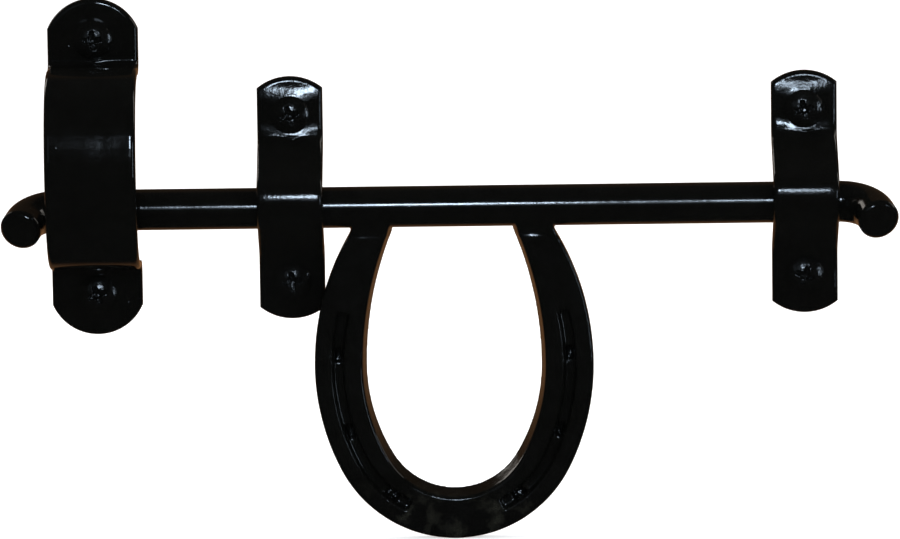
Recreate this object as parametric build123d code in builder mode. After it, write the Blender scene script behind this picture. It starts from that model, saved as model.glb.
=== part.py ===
from build123d import *
from math import acos, atan2, cos, hypot, radians, sin, sqrt
import os

# A horseshoe slide bolt for a door or gate: a round bar with both ends bent forward slides in
# two bent straps and through a taller keeper, and a horseshoe welded under it is its handle.
#
# Frame: X along the door, Z up, Y into the door. The door's face is the plane Y = 0. The origin
# lies on it, midway between the four screws of the two straps. Sizes are in millimetres.

# Bar
bar_diameter = 16.0
bar_standoff = 8.6
left_corner_reach = 100.5
right_corner_reach = 24.0
bent_end_length = 17.6
bent_end_droop = 20.0
bent_end_splay = 13.0
bend_radius = 14.0
bend_stub = 0.3
bar_end_chamfer = 1.3

# Straps
strap_pitch = 200.0
strap_width = 25.6
strap_thickness = 3.2
strap_tab_margin = 15.0
strap_end_rise = 4.6
strap_foot_z = 24.75
strap_foot_radius = 4.0
strap_crown_centre = 10.0
strap_crown_play = 1.9
strap_edge_round = 1.9

# Keeper
keeper_reach = 76.2
keeper_z = 13.0
keeper_width = 35.3
keeper_thickness = 3.2
keeper_tab_margin = 16.0
keeper_end_rise = 11.8
keeper_foot_z = 42.1
keeper_foot_radius = 2.6
keeper_depth = 33.0
keeper_crown_radius = 60.0
keeper_shoulder_z = 16.3
keeper_shoulder_radius = 20.0
keeper_edge_round = 1.9

# Horseshoe, measured from the bar's axis
shoe_x = -37.2
shoe_thickness = 8.0
shoe_half_width = 54.4
shoe_widest_depth = 62.0
shoe_toe_depth = 130.4
shoe_toe_radius = 50.0
shoe_heel_half_width = 40.0
shoe_heel_gap = 1.9
shoe_inner_half_width = 33.9
shoe_inner_toe_depth = 110.9
shoe_inner_toe_radius = 28.0
shoe_inner_heel_half_width = 23.5
shoe_side_bevel = 1.9
shoe_toe_bevel = 3.6
shoe_edge_round = 1.4

# Fullered crease and nail holes in each branch of the horseshoe
crease_inset = 9.2
crease_width = 5.6
crease_floor_width = 3.2
crease_depth = 2.4
crease_start_depth = 41.0
crease_end_angle = 26.0
nail_hole_width = 3.0
nail_hole_length = 5.6
nail_hole_depth = 6.5
nail_hole_top_margin = 17.0
nail_hole_toe_margin = 8.0
nail_hole_count = 3

# Weld beads between the bar and the horseshoe's heels
weld_throat = 1.8
weld_lap = 1.8
weld_overrun = 0.2
weld_hollow = 0.5

# Screws
screw_head_diameter = 15.0
screw_head_height = 2.8
screw_head_rim = 0.7
screw_neck_diameter = 6.2
screw_shank_diameter = 5.6
screw_length = 25.0
screw_point_length = 6.0
recess_span = 7.4
recess_floor_span = 2.4
recess_width = 1.8
recess_depth = 3.4

# Clearances
bar_run_gap = 0.35
bar_turn_gap = 0.03
screw_hole_play = 0.35
screw_head_gap = 0.25

# The keeper and the corners of the bar are placed from the straps beside them.
left_strap_x = -strap_pitch / 2
right_strap_x = strap_pitch / 2
keeper_x = left_strap_x - keeper_reach
left_corner_x = left_strap_x - left_corner_reach
right_corner_x = right_strap_x + right_corner_reach

bar_radius = bar_diameter / 2
strap_crown_radius = bar_radius + strap_crown_play

# Each screw head clears the foot arc beside it, and its tab ends a margin beyond the screw.
head_reach = screw_head_diameter / 2 + screw_head_gap
strap_screw_z = strap_foot_z + head_reach
keeper_screw_z = keeper_foot_z + head_reach
strap_half_length = strap_screw_z + strap_tab_margin
keeper_half_length = keeper_screw_z + keeper_tab_margin


def leg_slope(foot, foot_turn, crown, crown_turn):
    """Slope from the door of the straight leg that touches a foot arc and an arc of the hump."""
    run = foot[0] - crown[0]
    rise = foot[1] - crown[1]
    return atan2(rise, run) - acos((foot_turn + crown_turn) / hypot(run, rise))


# In each side view a point is its distance from the door and its height above the middle.
strap_foot_turn = strap_thickness + strap_foot_radius
strap_foot = (strap_foot_turn, strap_foot_z)
strap_crown = (strap_crown_centre, 0)
strap_slope = leg_slope(strap_foot, strap_foot_turn, strap_crown, strap_crown_radius)

keeper_foot_turn = keeper_thickness + keeper_foot_radius
keeper_foot = (keeper_foot_turn, keeper_foot_z)
keeper_shoulder_reach = keeper_crown_radius - keeper_shoulder_radius
keeper_crown_centre = keeper_depth - keeper_crown_radius
keeper_shoulder = (
    keeper_crown_centre + sqrt(keeper_shoulder_reach**2 - keeper_shoulder_z**2),
    keeper_shoulder_z,
)
keeper_slope = leg_slope(keeper_foot, keeper_foot_turn, keeper_shoulder, keeper_shoulder_radius)

# The bar hangs on the lower legs of the straps, with the running gap between.
crown_room = strap_crown_radius - bar_radius - bar_run_gap
bar_z = ((bar_standoff - strap_crown_centre) * cos(strap_slope) - crown_room) / sin(strap_slope)
bar_axis = Axis((0, -bar_standoff, bar_z), (1, 0, 0))

os.makedirs("parts", exist_ok=True)


def front_plane(x, distance, z):
    """A plane parallel to the door, this far in front of it, facing the room."""
    return Plane(origin=(x, -distance, z), x_dir=(1, 0, 0), z_dir=(0, -1, 0))


def save(piece, name):
    piece.part.label = name
    export_step(piece.part, f"parts/{name}.step")


def touch(centre, radius, slope):
    """Point of a side-view arc, in the strip's sketch, where a leg of this slope touches it."""
    return (-(centre[0] + radius * cos(slope)), centre[1] + radius * sin(slope))


def strap_back_line():
    """Door side of a strap in its side view: tabs, feet, sloping legs and one round crown."""
    top = Line((0, strap_half_length), (0, strap_foot_z))
    foot_end = touch(strap_foot, -strap_foot_turn, strap_slope)
    foot = TangentArc(top @ 1, foot_end, tangent=top % 1)
    leg = Line(foot @ 1, touch(strap_crown, strap_crown_radius, strap_slope))
    crown = (-(strap_crown_centre + strap_crown_radius), 0)
    TangentArc(leg @ 1, crown, tangent=leg % 1)


def keeper_back_line():
    """Door side of the keeper in its side view: tabs, feet, legs, shoulders and a flatter crown."""
    top = Line((0, keeper_half_length), (0, keeper_foot_z))
    foot_end = touch(keeper_foot, -keeper_foot_turn, keeper_slope)
    foot = TangentArc(top @ 1, foot_end, tangent=top % 1)
    leg = Line(foot @ 1, touch(keeper_shoulder, keeper_shoulder_radius, keeper_slope))
    share = keeper_crown_radius / keeper_shoulder_reach
    crown_run = (keeper_shoulder[0] - keeper_crown_centre) * share
    shoulder_end = (-(keeper_crown_centre + crown_run), keeper_shoulder_z * share)
    shoulder = TangentArc(leg @ 1, shoulder_end, tangent=leg % 1)
    TangentArc(shoulder @ 1, (-keeper_depth, 0), tangent=shoulder % 1)


def bent_strip(back_line, x, z, width, half_length, thickness, end_rise, edge_round, screw_z):
    """A flat bar bent to a side view, with round tab ends and two screw holes."""
    with BuildPart() as strip:
        with BuildSketch(Plane(origin=(x, 0, z), x_dir=(0, 1, 0), z_dir=(1, 0, 0))):
            with BuildLine():
                back_line()
                mirror(about=Plane.XZ)
                offset(amount=thickness, side=Side.RIGHT)
            make_face()
        extrude(amount=width / 2, both=True)
        with BuildSketch(front_plane(x, 0, z)):
            with BuildLine():
                corner = half_length - end_rise
                side = Line((width / 2, -corner), (width / 2, corner))
                ThreePointArc(side @ 1, (0, half_length), (-width / 2, corner))
                Line((-width / 2, corner), (-width / 2, -corner))
                ThreePointArc((-width / 2, -corner), (0, -half_length), side @ 0)
            make_face()
        extrude(amount=half_length, both=True, mode=Mode.INTERSECT)
        outside = strip.faces().filter_by(lambda face: face.normal_at().Y < -0.05)
        fillet(outside.edges().filter_by(Axis.X, reverse=True), radius=edge_round)
        with BuildSketch(front_plane(x, 0, z)):
            with Locations((0, screw_z), (0, -screw_z)):
                Circle(screw_neck_diameter / 2 + screw_hole_play)
        extrude(amount=thickness, mode=Mode.SUBTRACT)
    return strip


for name, x in {"left_strap": left_strap_x, "right_strap": right_strap_x}.items():
    strap = bent_strip(
        strap_back_line,
        x,
        0,
        strap_width,
        strap_half_length,
        strap_thickness,
        strap_end_rise,
        strap_edge_round,
        strap_screw_z,
    )
    save(strap, name)

keeper = bent_strip(
    keeper_back_line,
    keeper_x,
    keeper_z,
    keeper_width,
    keeper_half_length,
    keeper_thickness,
    keeper_end_rise,
    keeper_edge_round,
    keeper_screw_z,
)
save(keeper, "keeper")


# The bar's ends are bent in one plane that holds its axis and droops below the door's normal.
droop = radians(bent_end_droop)
splay = radians(bent_end_splay)
bend_plane = Plane(origin=bar_axis.position, x_dir=(1, 0, 0), z_dir=(0, sin(droop), -cos(droop)))
bend_setback = bend_radius * (1 - sin(splay)) / cos(splay)


def bent_end(corner_x, outward):
    """One bent end of the bar, with the short straight stub that it grows from."""
    stub_x = corner_x - outward * (bend_setback + bend_stub)
    tip = (corner_x + outward * bent_end_length * sin(splay), bent_end_length * cos(splay))
    with BuildPart() as end:
        with BuildLine(bend_plane) as path:
            FilletPolyline((stub_x, 0), (corner_x, 0), tip, radius=bend_radius)
        with BuildSketch(Plane(origin=path.line @ 0, z_dir=path.line % 0)):
            Circle(bar_radius)
        sweep()
        rim = end.edges().filter_by(GeomType.CIRCLE).sort_by_distance(path.line @ 1)[0]
        chamfer(rim, length=bar_end_chamfer)
    return end


save(bent_end(left_corner_x, -1), "left_bent_end")
save(bent_end(right_corner_x, 1), "right_bent_end")

shank_left = left_corner_x + bend_setback + bend_stub
shank_right = right_corner_x - bend_setback - bend_stub
with BuildPart() as bolt_shank:
    shank_start = Vector(shank_left, -bar_standoff, bar_z)
    with BuildSketch(Plane(origin=shank_start, z_dir=(1, 0, 0))):
        Circle(bar_radius)
    extrude(amount=shank_right - shank_left)
save(bolt_shank, "bolt_shank")


def side_arc_radius(half_width, toe_depth, toe_radius):
    """Radius of the arc that joins the widest point of a horseshoe outline to its toe arc."""
    drop = toe_depth - toe_radius - shoe_widest_depth
    return (half_width**2 + drop**2 - toe_radius**2) / (2 * (half_width - toe_radius))


def toe_meet(half_width, toe_depth, toe_radius):
    """Where the side arc meets the toe arc, on the right side."""
    drop = toe_depth - toe_radius - shoe_widest_depth
    side_radius = side_arc_radius(half_width, toe_depth, toe_radius)
    run = side_radius - half_width
    share = side_radius / hypot(run, drop)
    return run * (share - 1), -shoe_widest_depth - drop * share


def shoe_side(half_width, toe_depth, toe_radius, heel_half_width, heel_depth):
    """The right half of a horseshoe outline, from the toe up to the heel: three tangent arcs."""
    meet = toe_meet(half_width, toe_depth, toe_radius)
    toe = TangentArc((0, -toe_depth), meet, tangent=(1, 0))
    widest = (half_width, -shoe_widest_depth)
    TangentArc(toe @ 1, widest, tangent=toe % 1)
    return TangentArc(widest, (heel_half_width, -heel_depth), tangent=(0, 1))


shoe_back_distance = bar_standoff - shoe_thickness / 2
shoe_front_distance = bar_standoff + shoe_thickness / 2
heel_depth = bar_radius + shoe_heel_gap
shoe_back = front_plane(shoe_x, shoe_back_distance, bar_z)
shoe_front = front_plane(shoe_x, shoe_front_distance, bar_z)


def shoe_opening(plane, side_bevel, toe_bevel):
    """The outline of the space between the branches, open above the heels."""
    with BuildSketch(plane) as opening:
        with BuildLine():
            flank = shoe_side(
                shoe_inner_half_width + side_bevel,
                shoe_inner_toe_depth + toe_bevel,
                shoe_inner_toe_radius + side_bevel,
                shoe_inner_heel_half_width + side_bevel,
                heel_depth,
            )
            above = Line(flank @ 1, (shoe_inner_heel_half_width + side_bevel, 0))
            Line(above @ 1, (0, 0))
            mirror(about=Plane.YZ)
        make_face()
    return opening.sketch


crease_half_width = shoe_half_width - crease_inset
crease_toe_depth = shoe_toe_depth - crease_inset
crease_toe_radius = shoe_toe_radius - crease_inset
flank_rise = shoe_widest_depth - heel_depth
flank_run = shoe_half_width - shoe_heel_half_width
crease_flank_radius = (flank_rise**2 + flank_run**2) / (2 * flank_run) - crease_inset


def crease_path(side):
    """Middle of one branch's crease, at a constant inset from the outer edge."""
    outline = (crease_half_width, crease_toe_depth, crease_toe_radius)
    start_rise = shoe_widest_depth - crease_start_depth
    start_x = sqrt(crease_flank_radius**2 - start_rise**2) + crease_half_width - crease_flank_radius
    turn = radians(crease_end_angle)
    toe_centre = crease_toe_depth - crease_toe_radius
    start = (side * start_x, -crease_start_depth)
    widest = (side * crease_half_width, -shoe_widest_depth)
    meet = (side * toe_meet(*outline)[0], toe_meet(*outline)[1])
    end = (side * crease_toe_radius * sin(turn), -toe_centre - crease_toe_radius * cos(turn))
    RadiusArc(start, widest, side * crease_flank_radius)
    RadiusArc(widest, meet, side * side_arc_radius(*outline))
    RadiusArc(meet, end, side * crease_toe_radius)


with BuildPart() as horseshoe:
    with BuildSketch(shoe_back):
        with BuildLine():
            flank = shoe_side(
                shoe_half_width,
                shoe_toe_depth,
                shoe_toe_radius,
                shoe_heel_half_width,
                heel_depth,
            )
            Line(flank @ 1, (0, -heel_depth))
            mirror(about=Plane.YZ)
        make_face()
    extrude(amount=shoe_thickness)
    add(shoe_opening(shoe_back, 0, 0))
    add(shoe_opening(shoe_front, shoe_side_bevel, shoe_toe_bevel))
    loft(ruled=True, mode=Mode.SUBTRACT)
    front_face = horseshoe.faces().sort_by(Axis.Y)[0]
    fillet(front_face.edges(), radius=shoe_edge_round)
    for side in (-1, 1):
        with BuildLine(shoe_front) as crease:
            crease_path(side)
        start = crease.wire() @ 0
        along = crease.wire() % 0
        with BuildSketch(Plane(origin=start, x_dir=Vector(0, 1, 0).cross(along), z_dir=along)):
            with BuildLine():
                half_top = crease_width / 2
                half_floor = crease_floor_width / 2
                Polyline(
                    (-half_top, -crease_depth * 0.2),
                    (half_top, -crease_depth * 0.2),
                    (half_floor, crease_depth),
                    (-half_floor, crease_depth),
                    close=True,
                )
            make_face()
        sweep(mode=Mode.SUBTRACT)
        nail_run = crease.wire().length - nail_hole_top_margin - nail_hole_toe_margin
        for nail in range(nail_hole_count):
            reach = nail_hole_top_margin + nail_run * nail / (nail_hole_count - 1)
            at = crease.wire().position_at(reach, position_mode=PositionMode.LENGTH)
            along = crease.wire().tangent_at(reach, position_mode=PositionMode.LENGTH)
            with BuildSketch(Plane(origin=at, x_dir=along, z_dir=(0, 1, 0))):
                Rectangle(nail_hole_length, nail_hole_width)
            extrude(amount=nail_hole_depth, mode=Mode.SUBTRACT)
save(horseshoe, "horseshoe")


def heel_weld(side):
    """The bead that joins one heel to the bar, front and back, and fills the gap between."""
    half_thickness = shoe_thickness / 2
    lap = (half_thickness, -heel_depth - weld_lap)
    throat = half_thickness + weld_throat
    reach = (throat, -sqrt(bar_radius**2 - throat**2))
    hollow = ((lap[0] + reach[0]) / 2 - weld_hollow, (lap[1] + reach[1]) / 2)
    heel_middle = (shoe_heel_half_width + shoe_inner_heel_half_width) / 2
    heel_width = shoe_heel_half_width - shoe_inner_heel_half_width
    middle = (shoe_x + side * heel_middle, -bar_standoff, bar_z)
    with BuildPart() as weld:
        with BuildSketch(Plane(origin=middle, x_dir=(0, 1, 0), z_dir=(1, 0, 0))):
            with BuildLine():
                ThreePointArc(lap, hollow, reach)
                mirror(about=Plane.YZ)
                Line(reach, (-reach[0], reach[1]))
                Line(lap, (-lap[0], lap[1]))
            make_face()
        extrude(amount=heel_width / 2 + weld_overrun, both=True)
        add(horseshoe.part, mode=Mode.SUBTRACT)
        with BuildSketch(Plane(origin=middle, z_dir=(1, 0, 0))):
            Circle(bar_radius + bar_turn_gap)
        extrude(amount=heel_width, both=True, mode=Mode.SUBTRACT)
    return weld


save(heel_weld(-1), "left_heel_weld")
save(heel_weld(1), "right_heel_weld")


def wood_screw(x, z, thickness, turn):
    """A truss-head cross-recess screw, seated on a tab of this thickness."""
    head_radius = screw_head_diameter / 2
    neck_radius = screw_neck_diameter / 2
    shank_radius = screw_shank_diameter / 2
    seat = Vector(x, -thickness, z)
    with BuildPart() as screw:
        with BuildSketch(Plane(origin=seat, x_dir=(1, 0, 0), z_dir=(0, 0, 1))):
            with BuildLine():
                dome = TangentArc(
                    (0, -screw_head_height), (head_radius, -screw_head_rim), tangent=(1, 0)
                )
                Polyline(
                    dome @ 1,
                    (head_radius, 0),
                    (neck_radius, 0),
                    (neck_radius, thickness),
                    (shank_radius, thickness),
                    (shank_radius, screw_length - screw_point_length),
                    (0, screw_length),
                    dome @ 0,
                )
            make_face()
        revolve(axis=Axis(seat, (0, 1, 0)))
        for arm in (turn, turn + 90):
            across = (cos(radians(arm)), 0, sin(radians(arm)))
            normal = (-sin(radians(arm)), 0, cos(radians(arm)))
            head_top = seat - Vector(0, screw_head_height, 0)
            with BuildSketch(Plane(origin=head_top, x_dir=across, z_dir=normal)):
                with BuildLine():
                    Polyline(
                        (-recess_span / 2, -recess_depth),
                        (-recess_span / 2, 0),
                        (-recess_floor_span / 2, recess_depth),
                        (recess_floor_span / 2, recess_depth),
                        (recess_span / 2, 0),
                        (recess_span / 2, -recess_depth),
                        close=True,
                    )
                make_face()
            extrude(amount=recess_width / 2, both=True, mode=Mode.SUBTRACT)
    return screw


screw_seats = {
    "left_strap_top_screw": (left_strap_x, strap_screw_z, strap_thickness, 20),
    "left_strap_bottom_screw": (left_strap_x, -strap_screw_z, strap_thickness, 8),
    "right_strap_top_screw": (right_strap_x, strap_screw_z, strap_thickness, 15),
    "right_strap_bottom_screw": (right_strap_x, -strap_screw_z, strap_thickness, -20),
    "keeper_top_screw": (keeper_x, keeper_z + keeper_screw_z, keeper_thickness, 5),
    "keeper_bottom_screw": (keeper_x, keeper_z - keeper_screw_z, keeper_thickness, 20),
}
for name, seat in screw_seats.items():
    save(wood_screw(*seat), name)
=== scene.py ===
import math

import bmesh
import bpy
import numpy as np
from mathutils import Matrix, Vector, noise


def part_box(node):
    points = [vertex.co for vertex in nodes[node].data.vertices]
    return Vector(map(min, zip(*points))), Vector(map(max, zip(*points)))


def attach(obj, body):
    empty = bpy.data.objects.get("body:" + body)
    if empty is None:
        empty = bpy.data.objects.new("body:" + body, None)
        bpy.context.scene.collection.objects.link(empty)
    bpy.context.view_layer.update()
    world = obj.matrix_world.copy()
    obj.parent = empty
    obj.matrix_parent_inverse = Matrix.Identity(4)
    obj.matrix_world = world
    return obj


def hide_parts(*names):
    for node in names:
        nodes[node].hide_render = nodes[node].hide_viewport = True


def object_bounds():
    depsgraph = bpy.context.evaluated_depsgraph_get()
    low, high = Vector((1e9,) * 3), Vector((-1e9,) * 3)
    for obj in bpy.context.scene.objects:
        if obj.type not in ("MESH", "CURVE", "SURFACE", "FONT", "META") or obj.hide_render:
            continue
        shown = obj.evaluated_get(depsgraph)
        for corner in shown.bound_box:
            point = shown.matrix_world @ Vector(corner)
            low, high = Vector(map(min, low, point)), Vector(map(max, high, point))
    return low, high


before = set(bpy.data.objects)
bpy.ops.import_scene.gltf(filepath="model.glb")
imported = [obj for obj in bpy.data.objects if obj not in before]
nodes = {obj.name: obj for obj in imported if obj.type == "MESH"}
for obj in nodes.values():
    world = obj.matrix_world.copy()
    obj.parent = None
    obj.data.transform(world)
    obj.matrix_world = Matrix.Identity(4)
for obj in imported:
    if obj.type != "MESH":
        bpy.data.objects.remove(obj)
cad_low, cad_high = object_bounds()
MM = 0.001

# Driving dimensions, in metres and as in the CAD source.
BEND_RADIUS = 14.0 * MM
BENT_END_LENGTH = 17.6 * MM
BENT_END_SPLAY = math.radians(13.0)
BENT_END_DROOP = math.radians(20.0)
LEFT_CORNER_X = -200.5 * MM
RIGHT_CORNER_X = 124.0 * MM
END_CHAMFER = 1.3 * MM
HEAD_RADIUS = 7.5 * MM
HEAD_HEIGHT = 2.8 * MM
HEAD_RIM = 0.7 * MM
NECK_RADIUS = 3.1 * MM
THREAD_RADIUS = 2.8 * MM
POINT_LENGTH = 6.0 * MM
STRIP_THICKNESS = 3.2 * MM
STRIP_EDGE_ROUND = 1.9 * MM
STRAP_END_RISE = 4.6 * MM
STRAP_FOOT_Z = 24.75 * MM
STRAP_FOOT_RADIUS = 4.0 * MM
STRAP_CROWN_CENTRE = 10.0 * MM
STRAP_CROWN_RADIUS = 9.9 * MM
KEEPER_END_RISE = 11.8 * MM
KEEPER_FOOT_Z = 42.1 * MM
KEEPER_FOOT_RADIUS = 2.6 * MM
KEEPER_DEPTH = 33.0 * MM
KEEPER_CROWN_RADIUS = 60.0 * MM
KEEPER_SHOULDER_Z = 16.3 * MM
KEEPER_SHOULDER_RADIUS = 20.0 * MM
SCREW_HOLE_RADIUS = 3.45 * MM
HEEL_INNER = 23.5 * MM
HEEL_OUTER = 40.0 * MM
SHOE_SIDE_BEVEL = 1.9 * MM

# Each branch's nail holes: distance from the horseshoe's middle, and height from the bar's axis.
NAIL_HOLES = [(45.1 * MM, -57.8 * MM), (41.0 * MM, -87.8 * MM), (24.7 * MM, -112.9 * MM)]

# The photograph's camera: its distance, focal length in pixels of a 900-pixel width, and angles.
IMAGE_WIDTH_PX = 900
FOCAL_PX = 6400.7
CAMERA_DISTANCE = 2.5
CAMERA_ELEVATION = math.radians(7.3)
CAMERA_AZIMUTH = math.radians(-0.56)
CAMERA_ROLL = math.radians(-0.77)
CAMERA_TARGET = Vector((-38.47, 0.0, -29.21)) * MM
CAMERA_NEAR, CAMERA_FAR = 0.1, 100.0
SENSOR_WIDTH_MM = 36.0

shank_low, shank_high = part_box("bolt_shank")
BAR_RADIUS = (shank_high.z - shank_low.z) / 2
BAR_Y = (shank_low.y + shank_high.y) / 2
BAR_Z = (shank_low.z + shank_high.z) / 2


def new_material(name):
    material = bpy.data.materials.new(name)
    material.use_nodes = True
    material.node_tree.nodes.clear()
    return material


def add_node(material, kind, inputs=None, **settings):
    """A shader node with its settings, and its inputs given as values or as other nodes' outputs."""
    made = material.node_tree.nodes.new(kind)
    for key, value in settings.items():
        setattr(made, key, value)
    for key, value in (inputs or {}).items():
        socket = made.inputs[key]
        if isinstance(value, bpy.types.NodeSocket):
            material.node_tree.links.new(value, socket)
        else:
            socket.default_value = value
    return made


def maths(material, operation, *values):
    """The result of a Math node."""
    return add_node(material, "ShaderNodeMath", dict(enumerate(values)), operation=operation).outputs[0]


def mix_colours(material, share, first, second):
    """The colour between two, given as values with alpha or as other nodes' outputs."""
    return add_node(material, "ShaderNodeMix", {0: share, 6: first, 7: second},
                    data_type="RGBA").outputs[2]


def noise_share(material, place, scale, detail, roughness):
    """A noise's value at a place, from 0 to 1."""
    return add_node(material, "ShaderNodeTexNoise",
                    {"Vector": place, "Scale": scale, "Detail": detail,
                     "Roughness": roughness}).outputs["Fac"]


# Coat on a strap's tab and fold, in mm: where the pool in the fold lies, how wide and deep it is,
# and where the coat starts to thin toward the tip and how fast.
FOLD_POOL_AT_MM, FOLD_POOL_WIDTH_MM, FOLD_POOL_MM = 23.0, 4.5, 0.75
TIP_THIN_FROM_MM, TIP_THIN_RATE = 37.1, 0.0114


def strap_slopes(material, place):
    """Height in mm of the coat that fills a strap's folds and thins toward its ends."""
    z = add_node(material, "ShaderNodeSeparateXYZ", {0: place}).outputs["Z"]
    away = maths(material, "ABSOLUTE", z)

    def past(start_mm):
        return maths(material, "MULTIPLY_ADD", away, 1 / MM, -start_mm)

    def square(value, factor):
        return maths(material, "MULTIPLY", maths(material, "MULTIPLY", value, value), factor)

    near_fold = square(past(FOLD_POOL_AT_MM), -1 / FOLD_POOL_WIDTH_MM**2)
    pool = maths(material, "EXPONENT", near_fold)
    end = maths(material, "MAXIMUM", past(TIP_THIN_FROM_MM), 0.0)
    return maths(material, "MULTIPLY_ADD", pool, FOLD_POOL_MM, square(end, -TIP_THIN_RATE))


TOE_PATCHES_TOP_Z, TOE_PATCHES_FULL_Z = -0.110, -0.122
TOE_PATCH_GREY = (0.016, 0.016, 0.012, 1)


def toe_grey_patches(material, place, tint):
    """Turns some patches low on a horseshoe's toe a light grey, fully so toward its bottom."""
    z = add_node(material, "ShaderNodeSeparateXYZ", {0: place}).outputs["Z"]
    low = add_node(material, "ShaderNodeMapRange",
                   {"Value": z, "From Min": TOE_PATCHES_TOP_Z, "From Max": TOE_PATCHES_FULL_Z,
                    "To Min": 0.0, "To Max": 1.0})
    cloud = noise_share(material, place, scale=130.0, detail=4.0, roughness=0.7)
    patch = add_node(material, "ShaderNodeMapRange",
                     {"Value": cloud, "From Min": 0.52, "From Max": 0.70})
    share = maths(material, "MULTIPLY", low.outputs["Result"], patch.outputs["Result"])
    return mix_colours(material, share, tint, TOE_PATCH_GREY)


def trapped_specks(material, place):
    """Height share of a few round specks, in some regions of the paint only."""
    cells = add_node(material, "ShaderNodeTexVoronoi",
                     {"Vector": place, "Scale": 210.0, "Randomness": 1.0}, feature="F1")
    speck = add_node(material, "ShaderNodeMapRange",
                     {"Value": cells.outputs["Distance"], "From Min": 0.02, "From Max": 0.10,
                      "To Min": 1.0, "To Max": 0.0}, interpolation_type="SMOOTHSTEP")
    rare = add_node(material, "ShaderNodeTexNoise", {"Vector": place, "Scale": 60.0, "Detail": 0.0})
    region = add_node(material, "ShaderNodeMapRange",
                      {"Value": rare.outputs["Fac"], "From Min": 0.58, "From Max": 0.66})
    return maths(material, "MULTIPLY", speck.outputs["Result"], region.outputs["Result"])


def bump(material, height, distance, under=None):
    """The normal of a surface raised by a height share, on top of another bump's normal."""
    inputs = {"Height": height, "Strength": 1.0, "Distance": distance}
    if under:
        inputs["Normal"] = under
    return add_node(material, "ShaderNodeBump", inputs).outputs["Normal"]


# The slow waves' distance is the given height times this.
WAVE_STRETCH = 4
ROUGH_LEAST, ROUGH_MOST = 0.7, 1.6
TINT_DARK, TINT_LIGHT = 0.7, 1.4


def enamel(name, base, roughness, peel_mm=0.02, wave_mm=0.03, speck_mm=0.03,
           slopes=None, grey_patches=None):
    """Thick gloss enamel: a dark paint film with orange peel, slow waves and a few trapped specks."""
    material = new_material(name)
    place = add_node(material, "ShaderNodeTexCoord").outputs["Object"]
    peel = noise_share(material, place, scale=700.0, detail=3.0, roughness=0.55)
    wave = noise_share(material, place, scale=95.0, detail=2.0, roughness=0.5)
    slope_normal = bump(material, slopes(material, place), MM) if slopes else None
    wave_normal = bump(material, wave, wave_mm * MM * WAVE_STRETCH, slope_normal)
    peel_normal = bump(material, peel, peel_mm * MM, wave_normal)
    normal = bump(material, trapped_specks(material, place), speck_mm * MM, peel_normal)
    haze = noise_share(material, place, scale=140.0, detail=4.0, roughness=0.65)
    rough = add_node(material, "ShaderNodeMapRange",
                     {"Value": haze, "From Min": 0.3, "From Max": 0.75,
                      "To Min": roughness * ROUGH_LEAST, "To Max": roughness * ROUGH_MOST})
    dark, light = [(*[c * share for c in base], 1) for share in (TINT_DARK, TINT_LIGHT)]
    colour = mix_colours(material, haze, dark, light)
    if grey_patches:
        colour = grey_patches(material, place, colour)
    shader = add_node(material, "ShaderNodeBsdfPrincipled",
                      {"Base Color": colour, "Roughness": rough.outputs["Result"],
                       "IOR": 1.5, "Normal": normal})
    add_node(material, "ShaderNodeOutputMaterial", {"Surface": shader.outputs[0]})
    return material


BLACK = (0.0030, 0.0030, 0.0026)
strap_enamel = enamel("strap_enamel", BLACK, 0.09, peel_mm=0.05, wave_mm=0.03, slopes=strap_slopes)
keeper_enamel = enamel("keeper_enamel", BLACK, 0.05, peel_mm=0.008, wave_mm=0.004, speck_mm=0.06)
bar_enamel = enamel("bar_enamel", BLACK, 0.09, wave_mm=0.01)
shoe_enamel = enamel("shoe_enamel", BLACK, 0.11, wave_mm=0.02, speck_mm=0.05, grey_patches=toe_grey_patches)
screw_enamel = enamel("screw_enamel", BLACK, 0.14, peel_mm=0.03, wave_mm=0.01)


def scene_object(name, data):
    made = bpy.data.objects.new(name, data)
    bpy.context.scene.collection.objects.link(made)
    return made


def add_piece(mesh, material, body, replaced):
    """Shows a finished mesh in place of CAD solids, moving with a body."""
    mesh.polygons.foreach_set("use_smooth", [True] * len(mesh.polygons))
    mesh.materials.clear()
    mesh.materials.append(material)
    piece = scene_object(mesh.name, mesh)
    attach(piece, body)
    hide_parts(*replaced)


# Points of a mesh that lie closer together than this are one point.
SAME_POINT = 0.002 * MM


def closed_mesh(name, verts, faces):
    """A mesh from points and faces, with every face turned outward."""
    mesh = bpy.data.meshes.new(name)
    mesh.from_pydata([tuple(v) for v in verts], [], faces)
    work = bmesh.new()
    work.from_mesh(mesh)
    bmesh.ops.remove_doubles(work, verts=work.verts, dist=SAME_POINT)
    bmesh.ops.recalc_face_normals(work, faces=work.faces)
    work.to_mesh(mesh)
    work.free()
    return mesh


def grid_faces(rows, columns):
    """Quads between rings of points that are stored ring by ring."""
    return [(r * columns + c, r * columns + (c + 1) % columns,
             (r + 1) * columns + (c + 1) % columns, (r + 1) * columns + c)
            for r in range(rows - 1) for c in range(columns)]


def turned_grid_faces(first, rows, columns):
    """The same quads turned over, for rings that begin at a point of a longer list."""
    return [(first + a, first + d, first + c, first + b) for a, b, c, d in grid_faces(rows, columns)]


def evaluated_mesh(thing, name):
    """The mesh that an object's modifiers make; the object itself is removed."""
    graph = bpy.context.evaluated_depsgraph_get()
    mesh = bpy.data.meshes.new_from_object(thing.evaluated_get(graph))
    mesh.name = name
    bpy.data.objects.remove(thing)
    return mesh


def box_middle(low, high):
    """The middle of a box, on the door's face."""
    return Vector(((low.x + high.x) / 2, 0.0, (low.z + high.z) / 2))


def share_of(value):
    """A value held between 0 and 1."""
    return min(1.0, max(0.0, value))


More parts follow.
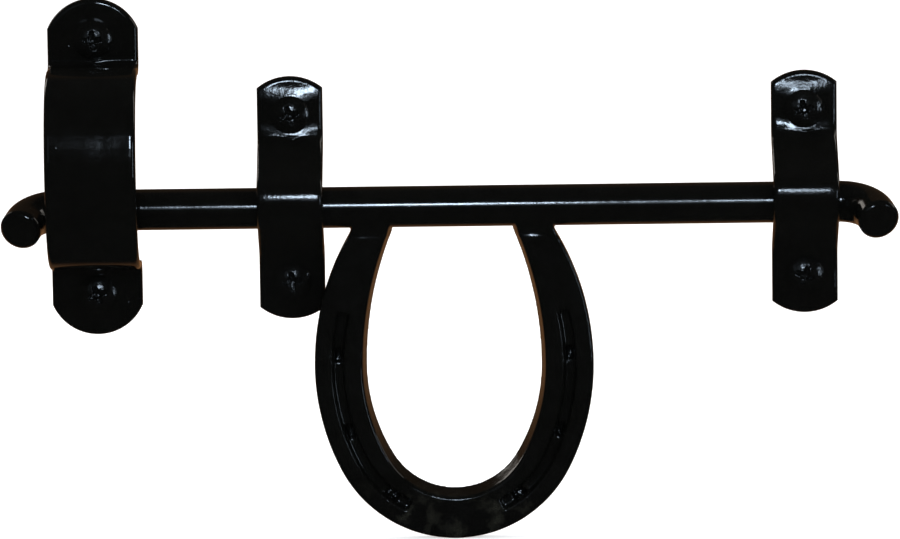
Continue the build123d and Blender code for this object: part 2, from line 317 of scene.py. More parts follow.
# Straps and keeper: flat bars bent to a side view. In it a point is its distance from the door and
# its height above the strip's middle; a bend is a centre, a radius and two angles of its normal.
def leg_slope(foot, foot_turn, crown, crown_turn):
    run, rise = foot[0] - crown[0], foot[1] - crown[1]
    return math.atan2(rise, run) - math.acos((foot_turn + crown_turn) / math.hypot(run, rise))


def strap_bends():
    foot_turn = STRIP_THICKNESS + STRAP_FOOT_RADIUS
    foot = (foot_turn, STRAP_FOOT_Z)
    crown = (STRAP_CROWN_CENTRE, 0.0)
    slope = leg_slope(foot, foot_turn, crown, STRAP_CROWN_RADIUS)
    return [(foot, -foot_turn, 0.0, slope), (crown, STRAP_CROWN_RADIUS, slope, 0.0)]


def keeper_bends():
    foot_turn = STRIP_THICKNESS + KEEPER_FOOT_RADIUS
    foot = (foot_turn, KEEPER_FOOT_Z)
    crown = (KEEPER_DEPTH - KEEPER_CROWN_RADIUS, 0.0)
    reach = KEEPER_CROWN_RADIUS - KEEPER_SHOULDER_RADIUS
    shoulder = (crown[0] + math.sqrt(reach**2 - KEEPER_SHOULDER_Z**2), KEEPER_SHOULDER_Z)
    slope = leg_slope(foot, foot_turn, shoulder, KEEPER_SHOULDER_RADIUS)
    joint = math.asin(KEEPER_SHOULDER_Z / reach)
    return [(foot, -foot_turn, 0.0, slope), (shoulder, KEEPER_SHOULDER_RADIUS, slope, joint),
            (crown, KEEPER_CROWN_RADIUS, joint, 0.0)]


# How finely a strip is divided: rows on its round tip, turn between rows in a bend, the longest
# way between two rows, and places across its front, closer together toward its edges.
TIP_ROWS = 26
LEAST_BEND_ROWS = 6
ROW_TURN = math.radians(2.5)
ROW_PITCH = 0.6 * MM
STRIP_COLUMNS = np.sin(np.linspace(-1.0, 1.0, 57) * math.pi / 2)
BACK_EDGE_ROUND = 0.3 * MM
DRILL_SIDES, DRILL_LENGTH = 48, 4 * STRIP_THICKNESS

# Points between the corners of a strip's section: on its side, in its back edge and on its back.
SIDE_POINT, EDGE_POINT, BACK_POINT = 0.6, 0.3, 0.5

# The dipped coat. Heights are in mm, and widths and runs in metres.
COAT_RIPPLE, COAT_RIPPLE_SCALE, COAT_RIPPLE_SHIFT = 0.035, 75, 900
COAT_SINK = 0.018
COAT_POOL_WIDTH = 3.2 * MM
COAT_THIN_END, COAT_END_RUN = 0.0065, 10.5 * MM
COAT_THIN_SIDE, COAT_SIDE_RUN = 0.012, 4.5 * MM
COAT_AT_HEAD, COAT_HEAD_WIDTH = 0.3, 2.0 * MM
DRIP_WIDTH = 0.45 * MM

# Drips under a top screw: place across, height above the middle, lean, length; thickness in mm.
STRAP_DRIPS = [(1.0 * MM, 23.6 * MM, 0.15, 1.2 * MM, 0.5),
               (0.4 * MM, 22.4 * MM, -0.2, 0.9 * MM, 0.4)]
KEEPER_DRIPS = [(2.2 * MM, 41.6 * MM, 0.9, 1.6 * MM, 0.5),
                (1.2 * MM, 40.6 * MM, 0.2, 1.2 * MM, 0.4)]


class Strip:
    """A bent flat bar's sizes, read from its CAD node, and how its coat lies."""

    def __init__(self, node, end_rise, pool, thin, drips):
        low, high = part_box(node)
        screw_low, screw_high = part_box(node + "_top_screw")
        self.middle = box_middle(low, high)
        self.half_width = (high.x - low.x) / 2
        self.half_length = (high.z - low.z) / 2
        self.tip_radius = (self.half_width**2 + end_rise**2) / (2 * end_rise)
        self.screw_z = (screw_low.z + screw_high.z) / 2 - self.middle.z
        self.pool = pool
        self.thin = thin
        self.drips = drips


def upper_rows(strip, bends):
    """Door-side points and normals of a strip's upper half, from its tip to its middle."""
    tip_turn = math.asin(strip.half_width / strip.tip_radius)
    rows = [(0.0, strip.half_length - strip.tip_radius * (1 - math.cos(turn)), 1.0, 0.0)
            for turn in np.linspace(0.0, tip_turn, TIP_ROWS)]
    for centre, radius, start, end in bends:
        steps = max(LEAST_BEND_ROWS, round(abs(end - start) / ROW_TURN))
        for angle in np.linspace(start, end, steps + 1):
            across, along = math.cos(angle), math.sin(angle)
            rows.append((centre[0] + radius * across, centre[1] + radius * along, across, along))
    return rows


def close_rows(rows):
    """The same rows with more between those that lie far apart."""
    filled = [rows[0]]
    for row in rows[1:]:
        last = filled[-1]
        cuts = math.ceil(math.hypot(row[0] - last[0], row[1] - last[1]) / ROW_PITCH)
        filled += [tuple(a + (b - a) * i / cuts for a, b in zip(last, row))
                   for i in range(1, cuts + 1)]
    return filled


def fold_distances(rows, bends):
    """How far each row's front point lies from the middle of the fold between tab and leg."""
    centre, radius, start, end = bends[0]
    fold_angle = (start + end) / 2
    reach = radius + STRIP_THICKNESS
    fold = (centre[0] + reach * math.cos(fold_angle), centre[1] + reach * math.sin(fold_angle))
    return [math.hypot(distance + across * STRIP_THICKNESS - fold[0],
                       z + along * STRIP_THICKNESS - fold[1])
            for distance, z, across, along in rows]


def coat_height(strip, x, z, edge, fold_distance):
    """What the dipped coat adds to or takes from a strip's front, in metres."""
    shift = Vector((strip.half_width, 0.0, strip.half_length)) * COAT_RIPPLE_SHIFT
    ripple = noise.noise(Vector((x, 0.0, z)) * COAT_RIPPLE_SCALE + shift)
    past_end = max(0.0, abs(z) - strip.half_length + COAT_END_RUN)
    past_side = max(0.0, abs(x) - strip.half_width + COAT_SIDE_RUN)
    from_head = max(0.0, math.hypot(x, abs(z) - strip.screw_z) - HEAD_RADIUS)
    height = COAT_RIPPLE * ripple - COAT_SINK
    height += strip.pool * math.exp(-(fold_distance / COAT_POOL_WIDTH)**2)
    height -= strip.thin * COAT_THIN_END * past_end**2 / MM**2
    height -= strip.thin * COAT_THIN_SIDE * past_side**2 / MM**2
    height += COAT_AT_HEAD * math.exp(-from_head / COAT_HEAD_WIDTH)
    for drip_x, drip_z, lean, length, lift in strip.drips:
        u = (x - drip_x) * math.cos(lean) + (z - drip_z) * math.sin(lean)
        v = (z - drip_z) * math.cos(lean) - (x - drip_x) * math.sin(lean)
        height += lift * math.exp(-(u / length)**2 - (v / DRIP_WIDTH)**2)
    return height * MM * min(1.0, edge / STRIP_EDGE_ROUND)


def strip_ring(strip, distance, z, fold_distance):
    """One cross-section of a strip as places across it and heights from its door side."""
    radius = strip.tip_radius
    reach = abs(z) - strip.half_length + radius
    half = strip.half_width
    if distance == 0.0 and reach > math.sqrt(radius**2 - strip.half_width**2):
        half = math.sqrt(max(0.0, radius**2 - reach**2))
    front = []
    for share in STRIP_COLUMNS:
        x = share * half
        edge = strip.half_width - abs(x)
        if distance == 0.0 and reach > 0.0:
            edge = max(0.0, min(edge, radius - math.hypot(x, reach)))
        short = max(0.0, STRIP_EDGE_ROUND - edge)
        drop = STRIP_EDGE_ROUND - math.sqrt(max(0.0, STRIP_EDGE_ROUND**2 - short**2))
        coat = coat_height(strip, x, z, edge, fold_distance)
        front.append((x, STRIP_THICKNESS - drop + coat))
    wall = STRIP_THICKNESS - STRIP_EDGE_ROUND
    soft = min(BACK_EDGE_ROUND, half / 2)
    right = [(half, wall * SIDE_POINT), (half, soft), (half - soft * EDGE_POINT, soft * EDGE_POINT),
             (half - soft, 0.0), (half * BACK_POINT, 0.0), (0.0, 0.0)]
    return front + right + [(-x, height) for x, height in reversed(right[:-1])]


def screw_drill(screw):
    """A round cutter where a screw goes through its strip."""
    low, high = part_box(screw)
    work = bmesh.new()
    bmesh.ops.create_cone(work, cap_ends=True, segments=DRILL_SIDES, radius1=SCREW_HOLE_RADIUS,
                          radius2=SCREW_HOLE_RADIUS, depth=DRILL_LENGTH)
    bmesh.ops.rotate(work, verts=work.verts, matrix=Matrix.Rotation(math.pi / 2, 3, "X"))
    bmesh.ops.translate(work, verts=work.verts, vec=box_middle(low, high))
    mesh = bpy.data.meshes.new("drill")
    work.to_mesh(mesh)
    work.free()
    return scene_object("drill", mesh)


def strip_piece(node, strip, bends, material):
    """A bent flat bar with round tab ends, rounded front edges and two screw holes."""
    upper = close_rows(upper_rows(strip, bends))
    lower = [(d, -z, across, -along) for d, z, across, along in reversed(upper[:-1])]
    fold_away = fold_distances(upper, bends)
    rows = upper + lower
    verts = []
    for row, away in zip(rows, fold_away + fold_away[-2::-1]):
        distance, z, across, along = row
        for x, height in strip_ring(strip, distance, z, away):
            spot = Vector((x, -(distance + across * height), z + along * height))
            verts.append(strip.middle + spot)
    mesh = closed_mesh(node + "_blank", verts, grid_faces(len(rows), len(verts) // len(rows)))
    blank = scene_object(node + "_blank", mesh)
    drills = [screw_drill(f"{node}_{end}_screw") for end in ("top", "bottom")]
    for drill in drills:
        cut = blank.modifiers.new("hole", "BOOLEAN")
        cut.operation = "DIFFERENCE"
        cut.solver = "EXACT"
        cut.object = drill
    finished = evaluated_mesh(blank, node + "_bent_bar")
    for drill in drills:
        bpy.data.objects.remove(drill)
    add_piece(finished, material, "fixings", (node,))


left_strap = Strip("left_strap", STRAP_END_RISE, pool=0.60, thin=1.0, drips=STRAP_DRIPS)
right_strap = Strip("right_strap", STRAP_END_RISE, pool=0.60, thin=1.0, drips=STRAP_DRIPS[:1])
keeper = Strip("keeper", KEEPER_END_RISE, pool=0.25, thin=0.0, drips=KEEPER_DRIPS)
strip_piece("left_strap", left_strap, strap_bends(), strap_enamel)
strip_piece("right_strap", right_strap, strap_bends(), strap_enamel)
strip_piece("keeper", keeper, keeper_bends(), keeper_enamel)


# The bolt's bar: one round bar with both ends bent forward, drawn as the one piece it is.
BAR_SIDES = 96
BEND_STEPS, TIP_STEPS, RUN_STEPS = 28, 6, 150
BAR_RIPPLE, BAR_RIPPLE_SCALE = 0.03 * MM, 60
ALONG_BAR = Vector((1, 0, 0))
BEND_TOWARD = Vector((0.0, -math.cos(BENT_END_DROOP), -math.sin(BENT_END_DROOP)))
BEND_SETBACK = BEND_RADIUS * (1 - math.sin(BENT_END_SPLAY)) / math.cos(BENT_END_SPLAY)
BEND_TURN = math.pi / 2 - BENT_END_SPLAY

# A bent end's face: rings on its rounded rim, how far the rim bulges, rings on the face as shares
# of the bar's radius, its unevenness, and how far its middle is sunk.
RIM_RINGS = 7
RIM_BULGE = 0.45
FACE_RINGS = (0.35, 0.6, 0.85)
FACE_RIPPLE, FACE_RIPPLE_SCALE = 0.06, 350
FACE_SINK = 0.1 * MM


def end_path(corner_x, outward):
    """Centre-line points and directions of one bent end, from the straight run to the tip."""
    start = Vector((corner_x - outward * BEND_SETBACK, BAR_Y, BAR_Z))
    along = Vector((outward, 0.0, 0.0))
    centre = start + BEND_TOWARD * BEND_RADIUS
    points = []
    for i in range(BEND_STEPS + 1):
        turn = BEND_TURN * i / BEND_STEPS
        point = centre - BEND_TOWARD * BEND_RADIUS * math.cos(turn)
        point += along * BEND_RADIUS * math.sin(turn)
        heading = along * math.cos(turn) + BEND_TOWARD * math.sin(turn)
        points.append((point, heading))
    tip_run = BENT_END_LENGTH - BEND_SETBACK - END_CHAMFER
    last, heading = points[-1]
    for i in range(1, TIP_STEPS + 1):
        points.append((last + heading * tip_run * i / TIP_STEPS, heading))
    return points


def bar_centre_line():
    """Centre-line points and directions of the whole bar, from its left tip to its right one."""
    left_end = end_path(LEFT_CORNER_X, -1)
    right_end = end_path(RIGHT_CORNER_X, 1)
    start, end = left_end[0][0], right_end[0][0]
    run = [(start.lerp(end, i / RUN_STEPS), ALONG_BAR) for i in range(1, RUN_STEPS)]
    return [(p, -h) for p, h in reversed(left_end)] + run + right_end


def close_end(verts, faces, ring, point, heading):
    """Rounds the rim of an end and closes it with a slightly hollow face, ring by ring."""
    rim = list(range(ring * BAR_SIDES, (ring + 1) * BAR_SIDES))
    inner = rim
    profile = [(END_CHAMFER * s, END_CHAMFER * (s + RIM_BULGE * s * (1 - s)))
               for s in np.linspace(0.0, 1.0, RIM_RINGS + 1)[1:]]
    profile += [(BAR_RADIUS * s, END_CHAMFER) for s in FACE_RINGS]
    for inset, out in profile:
        new = []
        for j in rim:
            radial = verts[j] - point
            radial = radial - heading * radial.dot(heading)
            spot = point + radial.normalized() * (BAR_RADIUS - inset) + heading * out
            spot += heading * FACE_RIPPLE * MM * noise.noise(spot * FACE_RIPPLE_SCALE)
            verts.append(spot)
            new.append(len(verts) - 1)
        faces.extend([(inner[k], inner[(k + 1) % BAR_SIDES], new[(k + 1) % BAR_SIDES], new[k])
                      for k in range(BAR_SIDES)])
        inner = new
    verts.append(point + heading * (END_CHAMFER - FACE_SINK))
    faces.extend([(inner[k], inner[(k + 1) % BAR_SIDES], len(verts) - 1)
                  for k in range(BAR_SIDES)])


def bar_piece():
    """The whole bar with its two bent ends."""
    centre_line = bar_centre_line()
    plane_normal = BEND_TOWARD.cross(ALONG_BAR).normalized()
    verts = []
    for point, heading in centre_line:
        across = heading.cross(plane_normal).normalized()
        for k in range(BAR_SIDES):
            angle = 2 * math.pi * k / BAR_SIDES
            offset = across * math.cos(angle) + plane_normal * math.sin(angle)
            ripple = BAR_RIPPLE * noise.noise((point + offset * BAR_RADIUS) * BAR_RIPPLE_SCALE)
            verts.append(point + offset * (BAR_RADIUS + ripple))
    rings = len(centre_line)
    faces = grid_faces(rings, BAR_SIDES)
    left_tip, left_heading = centre_line[0]
    right_tip, right_heading = centre_line[-1]
    close_end(verts, faces, 0, left_tip, -left_heading)
    close_end(verts, faces, rings - 1, right_tip, right_heading)
    add_piece(closed_mesh("bolt_bar", verts, faces), bar_enamel, "bolt_handle",
              ("bolt_shank", "left_bent_end", "right_bent_end"))


bar_piece()


# The horseshoe and its welds: the solids' own form, softened as by a thick coat of paint.
VOXEL = 0.5 * MM
CORE_GAP, CORE_OVERRUN = 0.15 * MM, 6 * MM
WELDS = ("left_heel_weld", "right_heel_weld")
HEEL_INNER_SLOPE, HEEL_OUTER_SLOPE = 0.30, 0.40
SMOOTH_FACTOR, SMOOTH_TIMES, WELD_SMOOTH_TIMES = 0.5, 4, 8
WELD_BLEND = 1.5 * MM

# Unevenness of the paint, as heights in mm and scales: slow, fine, on the welds, at nail holes.
SLOW_LUMPS, SLOW_SCALE = 0.05, 110
FINE_LUMPS, FINE_SCALE = 0.02, 420
WELD_LUMPS, WELD_SCALE = 0.12, 300
NAIL_LUMPS, NAIL_SCALE, NAIL_REACH = 0.60, 800, 4.5 * MM

# The brow along a heel's front top edge: its top above the welds' lowest point, its height in mm on
# each side, how far it rises and falls in mm, and its unevenness.
BROW_TOP = 1.4 * MM
LEFT_BROW, RIGHT_BROW = 0.24, 0.38
BROW_START, BROW_RISE, BROW_FALL = 4.4, 2.8, 1.6
BROW_MEAN, BROW_LUMPS, BROW_SCALE = 0.65, 0.9, 220
FRONT_FACING = -0.4

shoe_low, shoe_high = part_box("horseshoe")
shoe_middle_x = (shoe_low.x + shoe_high.x) / 2
weld_low = min(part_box(name)[0].z for name in WELDS)


def draw_in_beads(work):
    """Makes the weld beads' ends follow the sides of the branches up to the bar."""
    for vertex in work.verts:
        above = vertex.co.z - shoe_high.z
        forward = share_of((shoe_high.y - vertex.co.y) / (shoe_high.y - shoe_low.y))
        least = HEEL_INNER + SHOE_SIDE_BEVEL * forward - HEEL_INNER_SLOPE * above
        most = HEEL_OUTER - HEEL_OUTER_SLOPE * above
        out = vertex.co.x - shoe_middle_x
        vertex.co.x = shoe_middle_x + math.copysign(min(max(abs(out), least), most), out)


def add_core(work, node):
    """Adds a core inside the bar, so that the softened weld runs up to it."""
    low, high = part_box(node)
    core = bmesh.ops.create_cone(work, cap_ends=True, segments=BAR_SIDES,
                                 radius1=BAR_RADIUS - CORE_GAP, radius2=BAR_RADIUS - CORE_GAP,
                                 depth=high.x - low.x + CORE_OVERRUN)["verts"]
    bmesh.ops.rotate(work, verts=core, matrix=Matrix.Rotation(math.pi / 2, 3, "Y"))
    bmesh.ops.translate(work, verts=core, vec=Vector(((low.x + high.x) / 2, BAR_Y, BAR_Z)))


def voxel_shoe():
    """One skin round the horseshoe, its welds and the cores."""
    work = bmesh.new()
    for name in WELDS:
        work.from_mesh(nodes[name].data)
    draw_in_beads(work)
    work.from_mesh(nodes["horseshoe"].data)
    for name in WELDS:
        add_core(work, name)
    mesh = bpy.data.meshes.new("rough_shoe")
    work.to_mesh(mesh)
    work.free()
    rough_shoe = scene_object("rough_shoe", mesh)
    remesh = rough_shoe.modifiers.new("voxels", "REMESH")
    remesh.mode = "VOXEL"
    remesh.voxel_size = VOXEL
    return evaluated_mesh(rough_shoe, "voxel_shoe")


def softened(mesh):
    """The horseshoe's skin with its edges softened, and more so at the welds."""
    soft_shoe = scene_object("soft_shoe", mesh)
    near_weld = soft_shoe.vertex_groups.new(name="near_weld")
    for vertex in mesh.vertices:
        weight = share_of((vertex.co.z - weld_low) / WELD_BLEND + 1.0)
        if weight > 0.0:
            near_weld.add([vertex.index], weight, "REPLACE")
    soften = soft_shoe.modifiers.new("soften", "SMOOTH")
    soften.factor = SMOOTH_FACTOR
    soften.iterations = SMOOTH_TIMES
    blend = soft_shoe.modifiers.new("blend", "SMOOTH")
    blend.factor = SMOOTH_FACTOR
    blend.iterations = WELD_SMOOTH_TIMES
    blend.vertex_group = "near_weld"
    return evaluated_mesh(soft_shoe, "horseshoe_handle")


def heel_edge(p):
    """The low brow along a heel's front top edge: it rises slowly and falls off toward the bar."""
    up = (p.z - weld_low - BROW_TOP) / MM
    rise = share_of((up + BROW_START) / BROW_RISE)
    fall = share_of(-up / BROW_FALL)
    uneven = max(0.0, BROW_MEAN + BROW_LUMPS * noise.noise(p * BROW_SCALE))
    brow = LEFT_BROW if p.x < shoe_middle_x else RIGHT_BROW
    return brow * uneven * rise * rise * (3 - 2 * rise) * fall


def paint_lift(p, facing_y):
    """How far the paint lifts the horseshoe's skin at a point, in mm."""
    lift = SLOW_LUMPS * noise.noise(p * SLOW_SCALE) + FINE_LUMPS * noise.noise(p * FINE_SCALE)
    if facing_y < FRONT_FACING:
        lift += heel_edge(p)
    if p.z > weld_low:
        lift += WELD_LUMPS * noise.noise(p * WELD_SCALE) * min(1.0, (p.z - weld_low) / WELD_BLEND)
    for hole_x, hole_z in NAIL_HOLES:
        away = math.hypot(abs(p.x - shoe_middle_x) - hole_x, p.z - BAR_Z - hole_z)
        if away < NAIL_REACH:
            lift += NAIL_LUMPS * (1 - away / NAIL_REACH) * noise.noise(p * NAIL_SCALE)
    return lift


def horseshoe_piece():
    """The painted horseshoe with its welds."""
    mesh = softened(voxel_shoe())
    places = np.zeros(len(mesh.vertices) * 3)
    normals = np.zeros(len(mesh.vertices) * 3)
    mesh.vertices.foreach_get("co", places)
    mesh.vertex_normals.foreach_get("vector", normals)
    places, normals = places.reshape(-1, 3), normals.reshape(-1, 3)
    for place, normal in zip(places, normals):
        place += normal * paint_lift(Vector(place), normal[1]) * MM
    mesh.vertices.foreach_set("co", places.ravel())
    mesh.update()
    add_piece(mesh, shoe_enamel, "bolt_handle", ("horseshoe", *WELDS))


horseshoe_piece()


# Screws: a truss head with a painted cross recess, a plain neck and a threaded shank.
HEAD_SIDES, HEAD_RINGS = 128, 62
HEAD_RISE = HEAD_HEIGHT - HEAD_RIM
DOME_RADIUS = (HEAD_RADIUS**2 + HEAD_RISE**2) / (2 * HEAD_RISE)
RIM_ROUND, RIM_DROP = 0.35 * MM, 0.3 * MM
RIM_TURNS = np.linspace(0.15, 1.0, 6) * math.pi / 2
FIRST_RING = 0.0002 * MM
HEAD_LUMPS, HEAD_LUMP_SCALE = 0.05 * MM, 900
SEED_STEP = 20

# The recess, each with the width of its soft edge: arms that narrow outward, and a round well.
ARM_HALF_MM, ARM_NARROWING, ARM_EDGE = 1.15, 0.1, 0.5 * MM
ARM_REACH, ARM_END_EDGE = 3.5 * MM, 0.7 * MM
ARM_DEPTH, ARM_RISE = 2.0 * MM, 0.25
WELL_RADIUS, WELL_EDGE, WELL_DEPTH = 1.5 * MM, 1.2 * MM, 0.5

THREAD_PITCH, THREAD_ROOT = 2.2 * MM, 2.05 * MM
THREAD_SIDES, THREAD_ROWS = 48, 140
RIDGE_HALF_WIDTH = 0.22
POINT_LEAST = 0.02


def soft_inside(distance, width):
    """1 inside an edge and 0 outside it, with a soft change over a width."""
    t = share_of(0.5 - distance / width)
    return t * t * (3 - 2 * t)


def head_y(x, z, head_front, turn, seed):
    """Where a screw head's front lies over a place on it, with its recess."""
    r2 = x * x + z * z
    sag = DOME_RADIUS - math.sqrt(DOME_RADIUS**2 - r2)
    u = x * math.cos(turn) + z * math.sin(turn)
    v = -x * math.sin(turn) + z * math.cos(turn)
    near, far = min(abs(u), abs(v)), max(abs(u), abs(v))
    arm_half = (ARM_HALF_MM - ARM_NARROWING * far / MM) * MM
    arm = soft_inside(near - arm_half, ARM_EDGE) * soft_inside(far - ARM_REACH, ARM_END_EDGE)
    well = soft_inside(math.sqrt(r2) - WELL_RADIUS, WELL_EDGE)
    depth = arm * (ARM_DEPTH - ARM_RISE * far) + well * WELL_DEPTH * MM
    lump = HEAD_LUMPS * noise.noise(Vector((x, z, seed * MM * SEED_STEP)) * HEAD_LUMP_SCALE)
    return head_front + sag + depth + lump


def thread_point(y, k, tip):
    """A point of the shank, whose spiral ridge reaches the CAD shank's own radius."""
    angle = 2 * math.pi * k / THREAD_SIDES
    taper = min(1.0, max(POINT_LEAST, (tip - y) / POINT_LENGTH))
    phase = ((y - THREAD_PITCH * angle / (2 * math.pi)) / THREAD_PITCH) % 1.0
    ridge = max(0.0, 1 - abs(phase - 0.5) / RIDGE_HALF_WIDTH)
    height = (THREAD_RADIUS - THREAD_ROOT) * ridge * min(1.0, y / THREAD_PITCH)
    radius = (THREAD_ROOT + height) * taper
    return Vector((radius * math.cos(angle), y, radius * math.sin(angle)))


def screw_piece(node, turn_deg, seed):
    """A screw with its cross turned by some degrees; the seed varies its paint."""
    low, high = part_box(node)
    centre = box_middle(low, high)
    seat = low.y + HEAD_HEIGHT
    turn = math.radians(turn_deg)
    verts = []

    def ring(radius, height_of):
        for k in range(HEAD_SIDES):
            angle = 2 * math.pi * k / HEAD_SIDES
            x, z = radius * math.cos(angle), radius * math.sin(angle)
            verts.append(centre + Vector((x, height_of(x, z), z)))

    for radius in np.linspace(FIRST_RING, HEAD_RADIUS - RIM_ROUND, HEAD_RINGS):
        ring(radius, lambda x, z: head_y(x, z, low.y, turn, seed))
    rim_y = seat - HEAD_RIM
    for t in RIM_TURNS:
        ring(HEAD_RADIUS - RIM_ROUND * (1 - math.sin(t)),
             lambda x, z: rim_y + RIM_DROP * (1 - math.cos(t)))
    ring(HEAD_RADIUS, lambda x, z: seat)
    ring(NECK_RADIUS, lambda x, z: seat)
    ring(NECK_RADIUS, lambda x, z: 0.0)
    faces = turned_grid_faces(0, len(verts) // HEAD_SIDES, HEAD_SIDES)

    thread_start = len(verts)
    for i in range(THREAD_ROWS + 1):
        for k in range(THREAD_SIDES):
            verts.append(centre + thread_point(high.y * i / THREAD_ROWS, k, high.y))
    faces += turned_grid_faces(thread_start, THREAD_ROWS + 1, THREAD_SIDES)
    add_piece(closed_mesh(node + "_detail", verts, faces), screw_enamel, "fixings", (node,))


# How far each screw's cross is turned, in degrees.
SCREW_TURNS = {
    "left_strap_top_screw": 20, "left_strap_bottom_screw": 8,
    "right_strap_top_screw": 15, "right_strap_bottom_screw": -20,
    "keeper_top_screw": 5, "keeper_bottom_screw": 20,
}
for seed, (name, turn) in enumerate(SCREW_TURNS.items()):
    screw_piece(name, turn, seed)


# The stage: floor, world, lamps and camera.
FLOOR_HALF = 8.0
FLOOR_GREY, FLOOR_GLOW = (0.8, 0.8, 0.8, 1), 0.62
WHITE = (1, 1, 1, 1)
FRONT_DARK = (0.012, 0.012, 0.012)
BACK_LOW = (0.27, 0.13, 0.055)
BACK_HIGH = (0.06, 0.035, 0.018)
AMBIENT = (0.55, 0.56, 0.58, 1)


def pale_floor():
    """A floor under the latch, that the camera sees as nearly white."""
    material = new_material("pale_floor")
    light_path = add_node(material, "ShaderNodeLightPath")
    matt = add_node(material, "ShaderNodeBsdfDiffuse", {"Color": FLOOR_GREY})
    glow = add_node(material, "ShaderNodeEmission", {"Color": WHITE, "Strength": FLOOR_GLOW})
    pale = add_node(material, "ShaderNodeAddShader", {0: matt.outputs[0], 1: glow.outputs[0]})
    for_camera = add_node(material, "ShaderNodeMixShader",
                          {0: light_path.outputs["Is Camera Ray"], 1: matt.outputs[0],
                           2: pale.outputs[0]})
    add_node(material, "ShaderNodeOutputMaterial", {"Surface": for_camera.outputs[0]})
    mesh = bpy.data.meshes.new("floor")
    corners = [(-1, -1), (1, -1), (1, 1), (-1, 1)]
    mesh.from_pydata([(x * FLOOR_HALF, y * FLOOR_HALF, cad_low.z) for x, y in corners], [],
                     [(0, 1, 2, 3)])
    floor = scene_object("floor", mesh)
    floor.data.materials.append(material)
    floor.visible_glossy = False


def smooth_share(material, value, low, high):
    """0 below one value and 1 above another, with a soft change between them."""
    return add_node(material, "ShaderNodeMapRange",
                    {"Value": value, "From Min": low, "From Max": high},
                    interpolation_type="SMOOTHSTEP").outputs["Result"]


def studio_world():
    """What the gloss sees: a dark room in front and above, warm surroundings low behind."""
    world = bpy.data.worlds.new("studio")
    bpy.context.scene.world = world
    world.use_nodes = True
    world.node_tree.nodes.clear()
    light_path = add_node(world, "ShaderNodeLightPath")
    direction = add_node(world, "ShaderNodeTexCoord").outputs["Generated"]
    parts = add_node(world, "ShaderNodeSeparateXYZ", {0: direction})
    upward = smooth_share(world, parts.outputs["Z"], low=-0.2, high=0.4)
    backward = smooth_share(world, parts.outputs["Y"], low=0.32, high=0.62)
    behind = mix_colours(world, upward, (*BACK_LOW, 1), (*BACK_HIGH, 1))
    seen_in_gloss = mix_colours(world, backward, (*FRONT_DARK, 1), behind)
    lit_by = mix_colours(world, light_path.outputs["Is Glossy Ray"], AMBIENT, seen_in_gloss)
    sky = mix_colours(world, light_path.outputs["Is Camera Ray"], lit_by, WHITE)
    background = add_node(world, "ShaderNodeBackground", {"Color": sky, "Strength": 1.0})
    add_node(world, "ShaderNodeOutputWorld", {"Surface": background.outputs[0]})


def softbox(name, place, look_at, width, height, radiance, colour, in_gloss=True):
    """A rectangular lamp that looks as bright as this radiance, where 1 is white."""
    lamp = bpy.data.lights.new(name, "AREA")
    lamp.shape = "RECTANGLE"
    lamp.size = width
    lamp.size_y = height
    lamp.energy = radiance * math.pi * width * height
    lamp.color = colour
    made = scene_object(name, lamp)
    made.location = place
    made.rotation_euler = (Vector(look_at) - Vector(place)).to_track_quat("-Z", "Y").to_euler()
    made.visible_glossy = in_gloss


COOL = (0.68, 0.83, 1.0)
WARM = (1.0, 0.95, 0.88)

# The window in front: its parts with their left and right edges and radiance.
KEY_Y, KEY_Z, KEY_HEIGHT = -2.4, 0.757, 0.32
PANES = [
    ("pane_far_left", -0.29, -0.25, 1.0),
    ("pane_left", -0.25, -0.165, 14.0),
    ("pane_core", -0.165, 0.01, 46.0),
    ("pane_dim", 0.01, 0.17, 0.4),
    ("pane_right", 0.17, 0.215, 38.0),
    ("pane_far_right", 0.215, 0.27, 22.0),
]

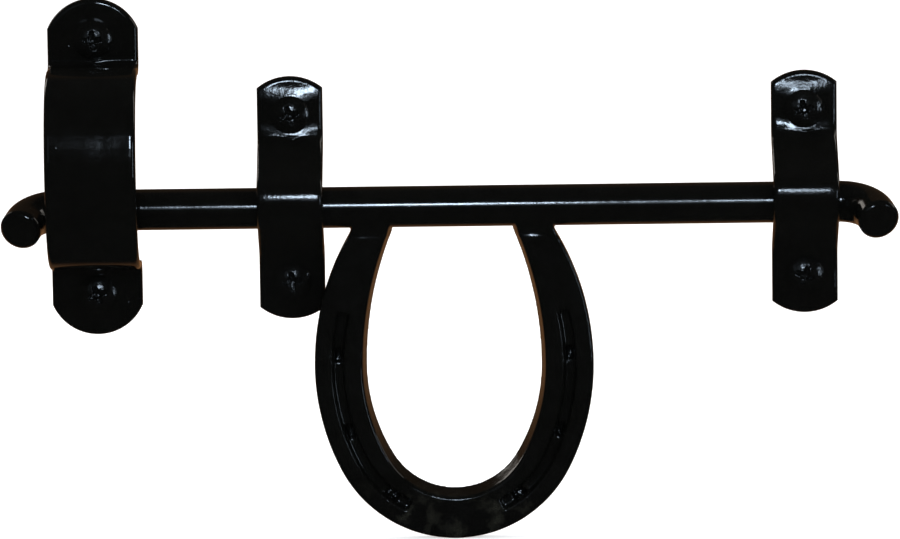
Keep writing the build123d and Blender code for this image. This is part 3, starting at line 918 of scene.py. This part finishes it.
pale_floor()
studio_world()
latch_middle = (cad_low + cad_high) / 2
softbox("overhead", (0.0, 0.3, 1.8), latch_middle,
        width=1.6, height=1.2, radiance=3.0, colour=(1, 1, 1), in_gloss=False)
for name, left, right, radiance in PANES:
    softbox(name, ((left + right) / 2, KEY_Y, KEY_Z), ((left + right) / 2, 0.0, 0.0),
            width=right - left, height=KEY_HEIGHT, radiance=radiance, colour=COOL)
softbox("pane_low", (-0.03, KEY_Y, 0.42), (-0.03, 0.0, 0.0),
        width=0.50, height=0.26, radiance=1.2, colour=COOL)
softbox("left_panel", (-0.75, -1.9, 0.50), latch_middle,
        width=0.70, height=0.60, radiance=0.17, colour=COOL)
softbox("right_strip", (1.6, -1.3, 0.10), latch_middle,
        width=0.12, height=0.80, radiance=10.0, colour=COOL)

# Panels that shape the gloss in the side and back views; the front sees them only in its rims.
softbox("right_panel", (2.3, 0.5, 1.1), latch_middle,
        width=0.7, height=1.3, radiance=2.0, colour=WARM)
softbox("left_back_panel", (-1.9, 1.5, 1.2), latch_middle,
        width=0.7, height=1.2, radiance=2.2, colour=WARM)


def photo_camera():
    """The photograph's camera."""
    data = bpy.data.cameras.new("camera")
    data.sensor_width = SENSOR_WIDTH_MM
    data.lens = FOCAL_PX / IMAGE_WIDTH_PX * SENSOR_WIDTH_MM
    data.clip_start = CAMERA_NEAR
    data.clip_end = CAMERA_FAR
    camera = scene_object("camera", data)
    forward = Vector((math.sin(CAMERA_AZIMUTH) * math.cos(CAMERA_ELEVATION),
                      math.cos(CAMERA_AZIMUTH) * math.cos(CAMERA_ELEVATION),
                      -math.sin(CAMERA_ELEVATION)))
    level_right = Vector((math.cos(CAMERA_AZIMUTH), -math.sin(CAMERA_AZIMUTH), 0.0))
    level_up = level_right.cross(forward)
    right = level_right * math.cos(CAMERA_ROLL) + level_up * math.sin(CAMERA_ROLL)
    up = level_up * math.cos(CAMERA_ROLL) - level_right * math.sin(CAMERA_ROLL)
    turned = Matrix((right, up, -forward)).transposed().to_4x4()
    camera.matrix_world = Matrix.Translation(CAMERA_TARGET - forward * CAMERA_DISTANCE) @ turned
    return camera


bpy.context.scene.camera = photo_camera()
bpy.context.scene.view_settings.view_transform = "Standard"
